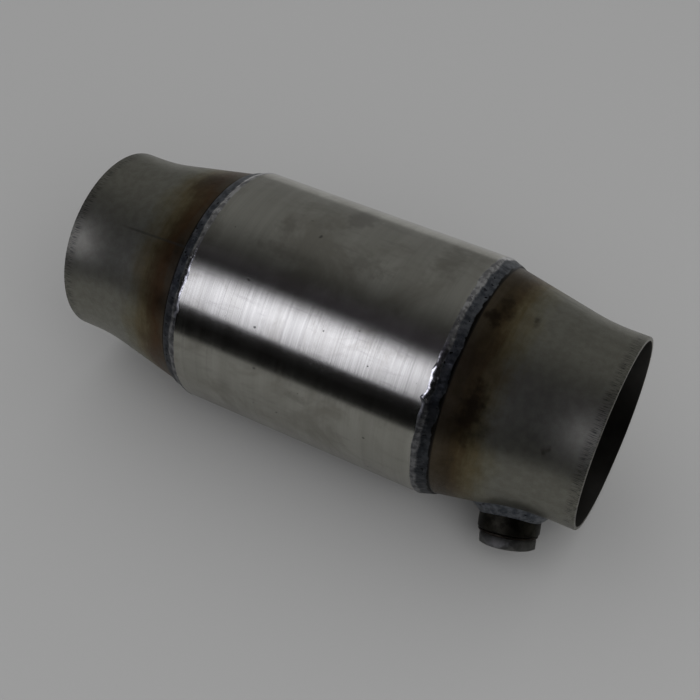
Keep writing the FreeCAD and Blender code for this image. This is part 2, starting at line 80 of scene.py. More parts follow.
def finished(bm, name, material, crease=35):
    """Makes a bmesh a piece that rides with the body and stands for the CAD node of the same name."""
    piece = placed(bm, name)
    piece.data.shade_smooth()
    piece.data.set_sharp_from_angle(angle=radians(crease))
    piece.data.materials.append(material)
    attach(piece, "root")
    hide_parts(name)
    return piece


class Finish:
    """A material, and the few kinds of pattern that its colour, roughness and bumps are made of."""

    def __init__(self, name, roughness, metallic=1.0, anisotropy=0.0):
        self.material = bpy.data.materials.new(name)
        self.material.use_nodes = True
        self.tree = self.material.node_tree
        self.tree.nodes.clear()
        self.output = self.tree.nodes.new("ShaderNodeOutputMaterial")
        self.surface = self.tree.nodes.new("ShaderNodeBsdfPrincipled")
        self.surface.inputs["Metallic"].default_value = metallic
        self.surface.inputs["Roughness"].default_value = roughness
        self.surface.inputs["Anisotropic"].default_value = anisotropy
        self.link(self.surface.outputs["BSDF"], self.output.inputs["Surface"])
        coordinates = self.tree.nodes.new("ShaderNodeTexCoord")
        self.place = coordinates.outputs["Object"]

    def link(self, source, target):
        self.tree.links.new(source, target)

    def put(self, target, value):
        """Sets a socket to a plain value, or links it where the value is another node's result."""
        if isinstance(value, bpy.types.NodeSocket):
            self.link(value, target)
        elif isinstance(value, tuple) and len(value) == 3 and target.type == "RGBA":
            target.default_value = (*value, 1.0)
        else:
            target.default_value = value

    def math(self, operation, *values):
        """One Math node."""
        node = self.tree.nodes.new("ShaderNodeMath")
        node.operation = operation
        for target, value in zip(node.inputs, values):
            self.put(target, value)
        return node.outputs[0]

    def axes(self, place=None):
        """The X, Y and Z of a place, the object's own by default."""
        node = self.tree.nodes.new("ShaderNodeSeparateXYZ")
        self.link(place or self.place, node.inputs[0])
        return node.outputs

    def stretched(self, x, y, z, shift=(0, 0, 0)):
        """The place with each axis scaled and shifted, for a pattern that is drawn out along one of them."""
        node = self.tree.nodes.new("ShaderNodeMapping")
        self.link(self.place, node.inputs["Vector"])
        node.inputs["Scale"].default_value = (x, y, z)
        node.inputs["Location"].default_value = shift
        return node.outputs[0]

    def clouds(self, place, scale=1.0, detail=3.0, rough=0.55, distortion=0.0):
        """Soft noise from 0 to 1."""
        node = self.tree.nodes.new("ShaderNodeTexNoise")
        self.link(place, node.inputs["Vector"])
        node.inputs["Scale"].default_value = scale
        node.inputs["Detail"].default_value = detail
        node.inputs["Roughness"].default_value = rough
        node.inputs["Distortion"].default_value = distortion
        return node.outputs["Fac"]

    def step(self, value, low, high, below=0.0, above=1.0, curve="SMOOTHSTEP"):
        """Goes from one value to another as its input passes from low to high."""
        node = self.tree.nodes.new("ShaderNodeMapRange")
        node.interpolation_type = curve
        self.link(value, node.inputs["Value"])
        node.inputs["From Min"].default_value = low
        node.inputs["From Max"].default_value = high
        node.inputs["To Min"].default_value = below
        node.inputs["To Max"].default_value = above
        return node.outputs["Result"]

    def mix(self, share, first, second, how="MIX"):
        """One colour laid over another, by a share from 0 to 1."""
        node = self.tree.nodes.new("ShaderNodeMix")
        node.data_type = "RGBA"
        node.blend_type = how
        self.put(node.inputs["Factor"], share)
        self.put(node.inputs["A"], first)
        self.put(node.inputs["B"], second)
        return next(out for out in node.outputs if out.type == "RGBA")

    def bump(self, height, depth, strength=1.0, normal=None):
        """Bumps of a height in metres; several can follow each other."""
        node = self.tree.nodes.new("ShaderNodeBump")
        node.inputs["Strength"].default_value = strength
        node.inputs["Distance"].default_value = depth
        self.link(height, node.inputs["Height"])
        if normal is not None:
            self.link(normal, node.inputs["Normal"])
        return node.outputs["Normal"]

    def turn(self):
        """Angle round the can's axis, from the top towards the front, in radians."""
        axes = self.axes()
        return self.math("ARCTAN2", self.math("MULTIPLY", axes["Y"], -1.0), axes["Z"])

    def vector(self, operation, first, second=None):
        """One Vector Math node."""
        node = self.tree.nodes.new("ShaderNodeVectorMath")
        node.operation = operation
        self.link(first, node.inputs[0])
        if second is not None:
            node.inputs[1].default_value = second
        return node.outputs["Value" if operation == "LENGTH" else "Vector"]

    def patch(self, x, turn, radius, along, around, ragged=0.6, scale=350, soft=0.5):
        """1 inside a ragged patch of the skin that lies at x and at an angle from the top, 0 outside it."""
        middle = (x, -radius * sin(radians(turn)), radius * cos(radians(turn)))
        offset = self.vector("SUBTRACT", self.place, middle)
        length = self.vector("LENGTH", self.vector("MULTIPLY", offset, (1 / along, 1 / around, 1 / around)))
        wobble = self.math("SUBTRACT", self.clouds(self.place, scale), 0.5)
        edge = self.math("MULTIPLY_ADD", wobble, ragged * 2, length)
        return self.step(edge, 1.0, 1.0 - soft)

    def use(self, colour=None, roughness=None, normal=None):
        """Gives the surface its colour, roughness and bumps."""
        if colour is not None:
            self.put(self.surface.inputs["Base Color"], colour)
        if roughness is not None:
            self.put(self.surface.inputs["Roughness"], roughness)
        if normal is not None:
            self.put(self.surface.inputs["Normal"], normal)
        return self.material


def linished_stainless():
    """Belt-finished tube: fine scratches round it, a few faint clouds, and a highlight drawn out along it."""
    dull_steel = (0.54, 0.535, 0.475)
    bright_steel = (0.64, 0.635, 0.57)
    cloud_grey = (0.40, 0.385, 0.33)
    smear_grey = (0.36, 0.35, 0.32)
    scratch_grey = (0.40, 0.39, 0.36)
    smudge_grey = (0.30, 0.29, 0.26)
    rubbed_grey = (0.32, 0.31, 0.27)
    pit_grey = (0.12, 0.12, 0.11)
    quarter_turn = 0.25
    # rubbed patches: (x in mm, angle from the top, half length and half width in mm)
    rubbed = ((-25, 5, 5, 9), (40, -10, 8, 22), (3, 79, 8, 3), (12, 10, 14, 6), (-20, 18, 20, 4))

    finish = Finish("linished_stainless", 0.22, anisotropy=0.75)
    tangent = finish.tree.nodes.new("ShaderNodeTangent")
    tangent.direction_type = "RADIAL"
    tangent.axis = "X"
    finish.link(tangent.outputs[0], finish.surface.inputs["Tangent"])
    finish.surface.inputs["Anisotropic Rotation"].default_value = quarter_turn

    scratches = finish.clouds(finish.stretched(2400, 14, 14), detail=4, rough=0.7)
    bands = finish.clouds(finish.stretched(140, 9, 9, (2, 5, 1)), detail=3)
    clouds = finish.clouds(finish.stretched(38, 38, 38, (3, 1, 7)), detail=5, rough=0.65, distortion=0.6)
    smears = finish.clouds(finish.stretched(45, 330, 330, (6, 2, 8)), detail=4, rough=0.7)
    smudge = finish.patch(-2 * mm, -18, can_radius, 7 * mm, 11 * mm)
    pits = finish.step(finish.clouds(finish.stretched(420, 420, 420, (9, 2, 4)), detail=1), 0.785, 0.82)

    colour = finish.mix(finish.step(bands, 0.3, 0.7), dull_steel, bright_steel)
    colour = finish.mix(finish.step(clouds, 0.44, 0.68, 0.0, 0.8), colour, cloud_grey)
    colour = finish.mix(finish.step(smears, 0.52, 0.72, 0.0, 0.35), colour, smear_grey)
    colour = finish.mix(finish.step(scratches, 0.45, 0.75, 0.0, 0.30), colour, scratch_grey)
    colour = finish.mix(finish.math("MULTIPLY", smudge, 0.5), colour, smudge_grey)
    for x, turn, along, around in rubbed:
        rub = finish.patch(x * mm, turn, can_radius, along * mm, around * mm, ragged=1.1, soft=1.0)
        colour = finish.mix(finish.math("MULTIPLY", rub, 0.5), colour, rubbed_grey)
    colour = finish.mix(finish.math("MULTIPLY", pits, 0.7), colour, pit_grey)

    roughness = finish.step(scratches, 0.3, 0.7, 0.17, 0.25)
    waves = finish.clouds(finish.stretched(55, 30, 30, (1, 8, 3)), detail=2)
    normal = finish.bump(scratches, 0.0025 * mm, 0.5)
    normal = finish.bump(waves, 0.05 * mm, 0.6, normal)
    normal = finish.bump(pits, -0.08 * mm, 0.8, normal)
    return finish.use(colour, roughness, normal)


can_outline = [
    (can_end, can_radius - can_wall),
    (can_end, can_radius - bevel_depth),
    (can_end - bevel_length, can_radius),
    (bevel_length - can_end, can_radius),
    (-can_end, can_radius - bevel_depth),
    (-can_end, can_radius - can_wall),
]
finished(turned(can_outline), "can", linished_stainless(), crease=20)


# ------------------------------------------------------------------ cones
# The inlet and the outlet cone are the same spinning in 1.5 mm stainless sheet: a straight collar at the
# mouth, a flare, a plain taper, and a spigot slipped into the can. Welding tinted them near the can.

cone_low, cone_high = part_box("inlet_cone")
mouth = cone_high.x
spigot_tip = cone_low.x
mouth_radius = 40.2 * mm
collar = 7 * mm
flare_radius = 86 * mm
slope = radians(11.17)
spigot_bend = 8 * mm
spigot_radius = 49.2 * mm
sheet = 1.5 * mm
rim_chamfer = 0.3 * mm
cone_crease = 30
weld_toe = can_end + 5.2 * mm


def skin_radius(x):
    """The cone's outer radius at x on its straight taper, or the mouth's on the collar."""
    taper_start = mouth - collar - flare_radius * tan(slope / 2)
    return mouth_radius + max(0, taper_start - x) * tan(slope)


def cone_line(offset):
    """The cone's outer line from mouth to spigot as (x, radius), or one that far inside it."""
    line = [(mouth, mouth_radius - offset), (mouth - collar, mouth_radius - offset)]
    flare_steps = 12
    flare = flare_radius + offset
    for step in range(1, flare_steps + 1):
        angle = slope * step / flare_steps
        line.append((mouth - collar - flare * sin(angle), mouth_radius + flare_radius - flare * cos(angle)))
    flare_end_x = mouth - collar - flare_radius * sin(slope)
    flare_end_radius = mouth_radius + flare_radius * (1 - cos(slope))
    bend_start_radius = spigot_radius - spigot_bend * (1 - cos(slope))
    bend_start_x = flare_end_x - (bend_start_radius - flare_end_radius) / tan(slope)
    bend_end_x = bend_start_x - spigot_bend * sin(slope)
    bend = spigot_bend - offset
    bend_steps = 4
    for step in range(bend_steps + 1):
        angle = slope * (1 - step / bend_steps)
        line.append((bend_end_x + bend * sin(angle), spigot_radius - spigot_bend + bend * cos(angle)))
    line.append((spigot_tip, spigot_radius - offset))
    return line


def cone_mesh(side, dents):
    """The cone as a turned wall, on the +X side or mirrored, its rim knocked in a little at each dent.

    Each dent is (angle from the top, depth in mm, half width in degrees).
    """
    dent_length = 18 * mm
    outer = cone_line(0)
    inner = cone_line(sheet)
    outer[0] = (mouth - rim_chamfer, mouth_radius)
    outer.insert(0, (mouth, mouth_radius - rim_chamfer))
    bm = turned([(side * x, radius) for x, radius in outer + inner[::-1]])
    for turn, depth, half_width in dents:
        for vert in bm.verts:
            at = atan2(-vert.co.y, vert.co.z) - radians(turn)
            gap = atan2(sin(at), cos(at)) / radians(half_width)
            near_rim = max(0.0, 1 - (mouth - side * vert.co.x) / dent_length)
            shrink = 1 - depth * mm / mouth_radius * exp(-gap ** 2) * near_rim ** 2
            vert.co.y *= shrink
            vert.co.z *= shrink
    return bm


def heat_tinted(name, side, rust, blotches):
    """Mill-finish sheet: satin grey, then straw and brown towards the weld, with burnt blotches.

    Each blotch is (angle from the top, x in mm, half length in mm, strength).
    """
    mill_dark = (0.33, 0.325, 0.275)
    mill_pale = (0.39, 0.385, 0.33)
    burnt_black = (0.035, 0.025, 0.017)
    toe_line_shade_black = (0.04, 0.035, 0.03)
    seam_grey = (0.12, 0.12, 0.11)
    tick_grey = (0.08, 0.08, 0.08)
    # the oxide's colours from the weld outwards, each at its place along the tinted length
    at_weld = (0.40, 0.33, 0.27)
    brown = (0.47, 0.35, 0.22)
    straw = (0.73, 0.62, 0.42)
    pale_straw = (0.93, 0.90, 0.80)
    bare = (1, 1, 1)
    oxide = ((0.22, rust), (0.40, brown), (0.56, straw), (0.80, pale_straw))
    tint_start = 60 * mm
    tint_end = 86 * mm
    seam_turn = radians(32 * side)
    seam_strength = 0.5
    seam_fade_start = 86 * mm
    seam_fade_end = 98 * mm
    tick_rate_round = 75.0
    tick_rate_along = 110.0

    finish = Finish(name, 0.3)
    along = finish.math("MULTIPLY", finish.axes()["X"], side)
    wander = finish.clouds(finish.stretched(45, 45, 45, (side, 0, 0)), detail=4, rough=0.6)
    ragged = finish.math("MULTIPLY_ADD", finish.math("SUBTRACT", wander, 0.5), 18 * mm, along)
    fine = finish.clouds(finish.stretched(300, 300, 300), detail=3)
    colour = finish.mix(finish.step(fine, 0.3, 0.7), mill_dark, mill_pale)

    tint = finish.tree.nodes.new("ShaderNodeValToRGB")
    tint.color_ramp.elements[0].color = (*at_weld, 1)
    tint.color_ramp.elements[1].color = (*bare, 1)
    for place, shade in oxide:
        tint.color_ramp.elements.new(place).color = (*shade, 1)
    streaks = finish.clouds(finish.stretched(420, 60, 60, (0, side, 2)), detail=4, rough=0.65)
    streaked = finish.math("MULTIPLY_ADD", finish.math("SUBTRACT", streaks, 0.5), 9 * mm, ragged)
    finish.link(finish.step(streaked, tint_start, tint_end, curve="LINEAR"), tint.inputs["Fac"])
    colour = finish.mix(1.0, colour, tint.outputs["Color"], "MULTIPLY")
    for turn, x, size, strength in blotches:
        burnt = finish.patch(side * x * mm, turn, skin_radius(x * mm), size * mm, size * 1.5 * mm,
                             ragged=1.2, scale=190, soft=1.0)
        colour = finish.mix(finish.math("MULTIPLY", burnt, strength), colour, burnt_black)
    # painted shade: a dark line on the cone along the weld's toe, where the bead steps down to the skin
    toe_line_shade = finish.step(along, weld_toe + 1.0 * mm, weld_toe + 0.2 * mm)
    colour = finish.mix(toe_line_shade, colour, toe_line_shade_black)

    # the sheet was rolled up and seamed before it was spun, and the seam still shows as a faint line
    from_seam = finish.math("ABSOLUTE", finish.math("ADD", finish.turn(), seam_turn))
    seam = finish.step(from_seam, radians(1.0), radians(0.2))
    seam_fade = finish.step(along, seam_fade_end, seam_fade_start, 0.0, seam_strength)
    seam = finish.math("MULTIPLY", seam, seam_fade)
    colour = finish.mix(seam, colour, seam_grey)

    # short marks across the rim from the tool that cut it to length
    rim_place = finish.tree.nodes.new("ShaderNodeCombineXYZ")
    finish.link(finish.math("MULTIPLY", finish.turn(), tick_rate_round), rim_place.inputs[0])
    finish.link(finish.math("MULTIPLY", along, tick_rate_along), rim_place.inputs[1])
    ticks = finish.step(finish.clouds(rim_place.outputs[0], scale=2.2, detail=1), 0.50, 0.62)
    ticks = finish.math("MULTIPLY", ticks, finish.step(along, mouth - 5.5 * mm, mouth - 2 * mm))
    colour = finish.mix(finish.math("MULTIPLY", ticks, 0.85), colour, tick_grey)

    speckle = finish.clouds(finish.stretched(3600, 3600, 3600), detail=1)
    roughness = finish.step(speckle, 0.42, 0.58, 0.28, 0.52)
    grain = finish.clouds(finish.stretched(500, 900, 900), detail=3)
    hollows = finish.clouds(finish.stretched(60, 60, 60, (side * 3, 0, 0)), detail=2)
    normal = finish.bump(grain, 0.003 * mm, 0.4)
    normal = finish.bump(hollows, 0.12 * mm, 0.6, normal)
    return finish.use(colour, roughness, normal)


def shaded_inside():
    """The cones' inner skin, painted darker than the outside as the shade inside the cones."""
    # painted shade: the inner skin is painted darker than the outside
    inside_shade_dark = (0.12, 0.115, 0.105)
    inside_shade_pale = (0.22, 0.215, 0.20)
    finish = Finish("shaded_inside", 0.45)
    clouds = finish.clouds(finish.stretched(120, 120, 120), detail=3)
    return finish.use(finish.mix(clouds, inside_shade_dark, inside_shade_pale))


def make_cone(end, side, rust, blotches, dents):
    """One cone, with its own tint outside and the painted shade finish on its inner skin."""
    # a face that looks this much along the axis is a cut end, and keeps the outside's finish
    flat_end = 0.7
    outside_finish = heat_tinted(end + "_mill_stainless", side, rust, blotches)
    cone = finished(cone_mesh(side, dents), end + "_cone", outside_finish, cone_crease)
    cone.data.materials.append(inside_shade_finish)
    for face in cone.data.polygons:
        outwards = face.center.y * face.normal.y + face.center.z * face.normal.z
        if outwards < 0 and abs(face.normal.x) < flat_end:
            face.material_index = 1
    return cone


inside_shade_finish = shaded_inside()
inlet_blotches = [(57, 71, 9, 0.75), (48, 73, 5, 0.5), (4, 67, 6, 0.8), (9, 64.5, 4, 0.7), (1, 79, 2.5, 0.6),
                  (63, 99.5, 2.2, 0.7), (60, 101.5, 1.6, 0.7)]
inlet_dents = [(-158, 0.8, 14)]
inlet_cone = make_cone("inlet", side=1, rust=(0.31, 0.24, 0.17), blotches=inlet_blotches, dents=inlet_dents)
outlet_blotches = [(-12, 71, 9, 0.35), (35, 63, 6, 0.4), (62, 64, 6, 0.4)]
make_cone("outlet", side=-1, rust=(0.40, 0.245, 0.15), blotches=outlet_blotches, dents=[])


# ------------------------------------------------------------------ girth welds
# One run of filler joins each cone to the can's bevelled edge. It freezes in overlapping ripples as the
# work turns under the torch, and is left as welded.

can_toe = Vector((can_end - bevel_length, can_radius))
cone_toe = Vector((weld_toe, skin_radius(weld_toe)))
bead_width = weld_toe - can_toe.x
bead_limit = can_radius - 0.015 * mm


def weld_metal(name, girth=True):
    """Filler as it froze: blue-grey scale with small dark pores.

    A girth weld also has a silvery toe on the can's edge and a painted shade line along the cone, and it is
    painted darker with shade low down on its front.
    """
    scale_dark = (0.10, 0.112, 0.13)
    scale_pale = (0.25, 0.265, 0.29)
    pore_black = (0.012, 0.012, 0.012)
    low_front_shade = (0.02, 0.021, 0.023)
    silver_dull = (0.34, 0.34, 0.345)
    silver_bright = (0.78, 0.78, 0.78)
    bead_toe_shade_black = (0.02, 0.018, 0.015)

    finish = Finish(name, 0.4)
    grain = finish.clouds(finish.stretched(380, 380, 380), detail=4, rough=0.6)
    pores = finish.step(finish.clouds(finish.stretched(560, 560, 560, (5, 5, 5)), detail=1), 0.66, 0.72)
    colour = finish.mix(finish.step(grain, 0.35, 0.65), scale_dark, scale_pale)
    colour = finish.mix(pores, colour, pore_black)
    roughness = None
    if girth:
        along = finish.math("ABSOLUTE", finish.axes()["X"])
        wander = finish.clouds(finish.stretched(130, 130, 130), detail=3)
        ragged = finish.math("MULTIPLY_ADD", finish.math("SUBTRACT", wander, 0.5), 3.5 * mm, along)
        # painted shade: the bead is painted darker low down on its front, and its silvery toe fades out there
        unshaded_share = finish.step(finish.turn(), radians(50), radians(60), 1.0, 0.38)
        colour = finish.mix(unshaded_share, low_front_shade, colour)
        toe = finish.step(ragged, can_toe.x + 2.9 * mm, can_toe.x + 1.9 * mm)
        toe = finish.math("MULTIPLY", toe, unshaded_share)
        silver = finish.mix(finish.step(grain, 0.38, 0.6), silver_dull, silver_bright)
        colour = finish.mix(toe, colour, silver)
        # painted shade: a dark line along the bead's toe on the cone
        edge = finish.step(ragged, cone_toe.x - 0.5 * mm, cone_toe.x - 0.1 * mm)
        colour = finish.mix(edge, colour, bead_toe_shade_black)
        roughness = finish.step(toe, 0.0, 1.0, 0.42, 0.22)
    normal = finish.bump(grain, 0.12 * mm, 0.6)
    normal = finish.bump(pores, -0.3 * mm, 1.0, normal)
    return finish.use(colour, roughness, normal)


def uneven(start, turn, rate):
    """Soft noise from -1 to 1 that runs round the can and meets itself."""
    return noise.noise(Vector((start, cos(turn) * rate, sin(turn) * rate)))


def bead_mesh(side, seed, drops, spills):
    """A low run between the can's edge and the cone's skin, rippled, its ridge and toes wandering.

    Each drop is (angle from the top, distance from the can's edge, height, half width), and each spill is
    (angle from the top, reach over the can's edge, half width in degrees), with all lengths in mm.
    """
    # distance from the can's edge, and height over the straight line to the cone's skin, in mm
    section = [(0.0, -0.04), (0.35, 0.2), (0.8, 0.36), (1.3, 0.42), (1.9, 0.36), (2.6, 0.28), (3.4, 0.28),
               (4.3, 0.36), (5.1, 0.43), (5.7, 0.45), (6.1, 0.38), (6.35, 0.2), (6.5, 0.0)]
    root = 0.7 * mm
    skin_depth = 0.1 * mm
    ripple_rate = 80
    ripple_lag = 0.03
    ripple_height = 0.07 * mm
    wave_height = 0.10 * mm
    ragged_height = 0.16 * mm
    wave_rate = 5
    ragged_rate = 26
    toe_wander = 0.35 * mm
    toe_rate = 17
    toe_share = 0.4

    run = cone_toe - can_toe
    square = Vector((-run.y, run.x)).normalized()
    outline = []
    for across, height in section:
        point = can_toe + run * (across * mm / bead_width) + square * height * mm
        outline.append((point.x, point.y))
    outline.append((cone_toe.x, cone_toe.y - root))
    outline.append((can_end, spigot_radius))
    outline.append((can_end, can_radius - bevel_depth))
    bm = turned(outline, steps=720)
    for vert in bm.verts:
        out = hypot(vert.co.y, vert.co.z)
        share = (vert.co.x - can_toe.x) / bead_width
        if out < can_toe.y + run.y * share - skin_depth:
            continue
        turn = atan2(-vert.co.y, vert.co.z)
        bulge = sin(pi * min(max(share, 0), 1))
        lag = ripple_lag * (2 * share - 1) ** 2
        ripple = abs(sin((turn + lag) * ripple_rate)) - 0.5
        rise = ripple_height * ripple
        rise += wave_height * uneven(seed, turn, wave_rate)
        rise += ragged_height * uneven(seed + share * 3, turn, ragged_rate)
        rise *= bulge
        for at, across, height, half_width in drops:
            gap = hypot((turn - radians(at)) * out, (vert.co.x - can_toe.x) - across * mm)
            rise += height * mm * exp(-(gap / (half_width * mm)) ** 2)
        reach = toe_wander * (0.6 + uneven(seed, turn, toe_rate))
        for at, over, half_width in spills:
            reach += over * mm * exp(-((turn - radians(at)) / radians(half_width)) ** 2)
        vert.co.x -= reach * max(0.0, 1 - share / toe_share)
        grow = (out + rise) / out
        vert.co.y = max(-bead_limit, min(bead_limit, vert.co.y * grow))
        vert.co.z = max(-bead_limit, min(bead_limit, vert.co.z * grow))
    bmesh.ops.transform(bm, matrix=Matrix.Scale(side, 4, (1, 0, 0)), verts=bm.verts)
    bmesh.ops.recalc_face_normals(bm, faces=bm.faces)
    return bm


bead_finish = weld_metal("weld_metal")
inlet_drops = [(55, 0.8, 0.35, 1.0), (50, 2.5, 0.45, 1.1), (46, 2.1, 0.35, 1.1), (41, 1.5, 0.3, 1.3),
               (7, 3.0, -0.4, 0.8), (26, 3.6, -0.25, 0.6), (38, 3.8, -0.3, 0.7), (-12, 1.6, 0.25, 1.6),
               (64, 1.5, 0.25, 2.2), (80, 1.8, 0.25, 2.6)]
inlet_spills = [(55, 1.4, 1.8), (43, 0.3, 3.0), (-8, 0.5, 6.0)]
outlet_drops = [(59, 3.2, 0.55, 1.1), (59, 5.0, 0.25, 0.7), (45, 0.9, 0.2, 1.5), (12, 1.2, 0.2, 2.0)]
outlet_spills = [(60, 0.6, 2.0), (44, 0.5, 5.0)]
inlet_bead = bead_mesh(side=1, seed=2.3, drops=inlet_drops, spills=inlet_spills)
finished(inlet_bead, "inlet_weld", bead_finish, crease=60)
outlet_bead = bead_mesh(side=-1, seed=7.9, drops=outlet_drops, spills=outlet_spills)
finished(outlet_bead, "outlet_weld", bead_finish, crease=60)


# ------------------------------------------------------------------ sensor boss
# A turned steel boss stands square on the inlet cone, with a fillet weld round its foot. It takes an
# M18 x 1.5 oxygen sensor, through a port drilled in the cone's wall.

boss_from_mouth = 27.5 * mm
boss_from_below = 41.65
boss_turn = radians(180 - boss_from_below)
boss_height = 9.3 * mm
boss_sink = 3 * mm
port_radius = 9.5 * mm

seat_x = mouth - boss_from_mouth
seat = (Matrix.Rotation(boss_turn, 4, "X") @ Matrix.Translation((seat_x, 0, skin_radius(seat_x)))
        @ Matrix.Rotation(slope, 4, "Y"))


def turned_metal(name, dark, light, roughness):
    """Turned metal gone dull."""
    finish = Finish(name, roughness)
    grain = finish.clouds(finish.stretched(260, 260, 260), detail=4, rough=0.6)
    colour = finish.mix(finish.step(grain, 0.35, 0.65), dark, light)
    normal = finish.bump(grain, 0.04 * mm, 0.4)
    return finish.use(colour, None, normal)


def cad_copy(name):
    """A bmesh copy of a CAD solid that is right as it is, its loose triangles joined up."""
    bm = bmesh.new()
    bm.from_mesh(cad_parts[name].data)
    bmesh.ops.remove_doubles(bm, verts=bm.verts, dist=0.001 * mm)
    return bm


# the boss is painted nearly black: partly its own dark steel, and partly painted shade where it sits low on
# the front of the cone
boss_shade_finish = turned_metal("boss_steel", dark=(0.018, 0.017, 0.013), light=(0.050, 0.047, 0.036),
                           roughness=0.5)
finished(cad_copy("sensor_boss"), "sensor_boss", boss_shade_finish)

drill_bm = bmesh.new()
bmesh.ops.create_cone(drill_bm, cap_ends=True, segments=64, radius1=port_radius, radius2=port_radius,
                      depth=2 * boss_sink)
bmesh.ops.transform(drill_bm, matrix=seat, verts=drill_bm.verts)
drill = placed(drill_bm, "drill")
port = inlet_cone.modifiers.new("port", "BOOLEAN")
port.operation = "DIFFERENCE"
port.solver = "EXACT"
port.object = drill
bpy.context.view_layer.update()
shaped_cone = inlet_cone.evaluated_get(bpy.context.evaluated_depsgraph_get())
drilled_mesh = bpy.data.meshes.new_from_object(shaped_cone)
drilled_mesh.name = "inlet_cone_drilled"
drilled_mesh.set_sharp_from_angle(angle=radians(cone_crease))
inlet_cone.modifiers.clear()
inlet_cone.data = drilled_mesh
bpy.data.objects.remove(drill)


# ------------------------------------------------------------------ boss weld
# A fillet of filler runs once round the foot of the boss, where it meets the curved skin of the cone.
# It is the same filler as in the girth welds, laid by hand and left as welded.


def dressed(name, material):
    """Gives a CAD solid that stays as it is its finish."""
    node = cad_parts[name]
    node.data.materials.clear()
    node.data.materials.append(material)


dressed("boss_weld", weld_metal("boss_weld_metal", girth=False))


# ------------------------------------------------------------------ blanking plug and its washer
# A hexagon-headed steel plug is screwed into the boss to close it while no sensor is fitted.
# A turned copper ring is crushed under its head as the seal; it is painted nearly black, as painted shade
# under the head.

washer_height = 1.3 * mm
washer_radius = 12.1 * mm
washer_bore = 9.1 * mm
washer_round = 0.4 * mm
washer_outline = [
    (boss_height, washer_bore),
    (boss_height, washer_radius - washer_round),
    (boss_height + washer_round, washer_radius),
    (boss_height + washer_height - washer_round, washer_radius),
    (boss_height + washer_height, washer_radius - washer_round),
    (boss_height + washer_height, washer_bore),
]
washer_bm = turned(washer_outline, steps=128)
upright = Matrix.Rotation(radians(-90), 4, "Y")
bmesh.ops.transform(washer_bm, matrix=seat @ upright, verts=washer_bm.verts)
bmesh.ops.recalc_face_normals(washer_bm, faces=washer_bm.faces)
# painted shade: the copper ring is painted nearly black, for the shade under the plug's head
washer_shade_finish = turned_metal("washer_copper", dark=(0.030, 0.026, 0.021), light=(0.06, 0.05, 0.04),
                             roughness=0.5)
finished(washer_bm, "sealing_washer", washer_shade_finish, crease=50)

plug_finish = turned_metal("plug_steel", dark=(0.17, 0.17, 0.16), light=(0.27, 0.27, 0.255), roughness=0.6)
finished(cad_copy("blanking_plug"), "blanking_plug", plug_finish)


# ------------------------------------------------------------------ catalyst
# A flat and a corrugated steel foil are wound up together and pressed into a steel mantle that fits the can.
# Both foils are dipped in a slurry that bakes on as the tan, slightly rough catalyst coating.

foil_low, foil_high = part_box("flat_foil")
winding_start = 2.6 * mm
winding_pitch = 2.1 * mm
winding_end = foil_high.z - 0.3 * mm
foil_thickness = 0.12 * mm
cell_pitch = 3.2 * mm
crest = winding_pitch / 2 - foil_thickness


def foil_mesh(spacing, middle, wave):
    """A foil wound in a spiral, from points spaced along it.

    Its middle stands that high over the spiral, and its waves that high above and below its middle.
    """
    bm = bmesh.new()
    turned_by = 0.0
    unrolled = 0.0
    spiral = winding_start
    points = []
    while spiral < winding_end - middle - wave:
        radius = spiral + middle + wave * sin(2 * pi * unrolled / cell_pitch)
        points.append(bm.verts.new((foil_low.x, radius * cos(turned_by), radius * sin(turned_by))))
        turned_by += spacing / (spiral + middle)
        unrolled += spacing
        spiral = winding_start + winding_pitch * turned_by / (2 * pi)
    for start, end in zip(points, points[1:]):
        bm.edges.new((start, end))
    drawn = bmesh.ops.extrude_edge_only(bm, edges=bm.edges[:])
    far_edge = [item for item in drawn["geom"] if isinstance(item, bmesh.types.BMVert)]
    bmesh.ops.translate(bm, vec=(foil_high.x - foil_low.x, 0, 0), verts=far_edge)
    bmesh.ops.recalc_face_normals(bm, faces=bm.faces)
    bmesh.ops.solidify(bm, geom=bm.faces[:], thickness=foil_thickness)
    return bm


def catalyst_coating():
    """The baked coating: a matt tan ceramic, uneven in colour."""
    tan_dark = (0.33, 0.28, 0.21)
    tan_pale = (0.48, 0.42, 0.33)
    finish = Finish("catalyst_coating", 0.85, metallic=0.0)
    clouds = finish.clouds(finish.stretched(150, 400, 400), detail=4, rough=0.6)
    colour = finish.mix(finish.step(clouds, 0.3, 0.7), tan_dark, tan_pale)
    return finish.use(colour, None, finish.bump(clouds, 0.08 * mm, 0.5))


coating = catalyst_coating()
flat_foil = foil_mesh(spacing=1.6 * mm, middle=0.0, wave=0.0)
finished(flat_foil, "flat_foil", coating, crease=40)
corrugated_foil = foil_mesh(spacing=cell_pitch / 8, middle=winding_pitch / 2, wave=crest)
finished(corrugated_foil, "corrugated_foil", coating, crease=60)

mantle_finish = turned_metal("mantle_steel", dark=(0.30, 0.28, 0.24), light=(0.40, 0.38, 0.33), roughness=0.4)
dressed("substrate_mantle", mantle_finish)


# ------------------------------------------------------------------ floor
# The part lies on its side on a sheet of pale grey paper. Towards the front the paper looks darker in the
# metal than it is, as it does where it runs out of the light.

floor_level = can_low.z
floor_half_side = 3.0
floor_bm = bmesh.new()
bmesh.ops.create_grid(floor_bm, x_segments=1, y_segments=1, size=floor_half_side)
bmesh.ops.translate(floor_bm, vec=(0, 0, floor_level), verts=floor_bm.verts)
floor = placed(floor_bm, "floor")

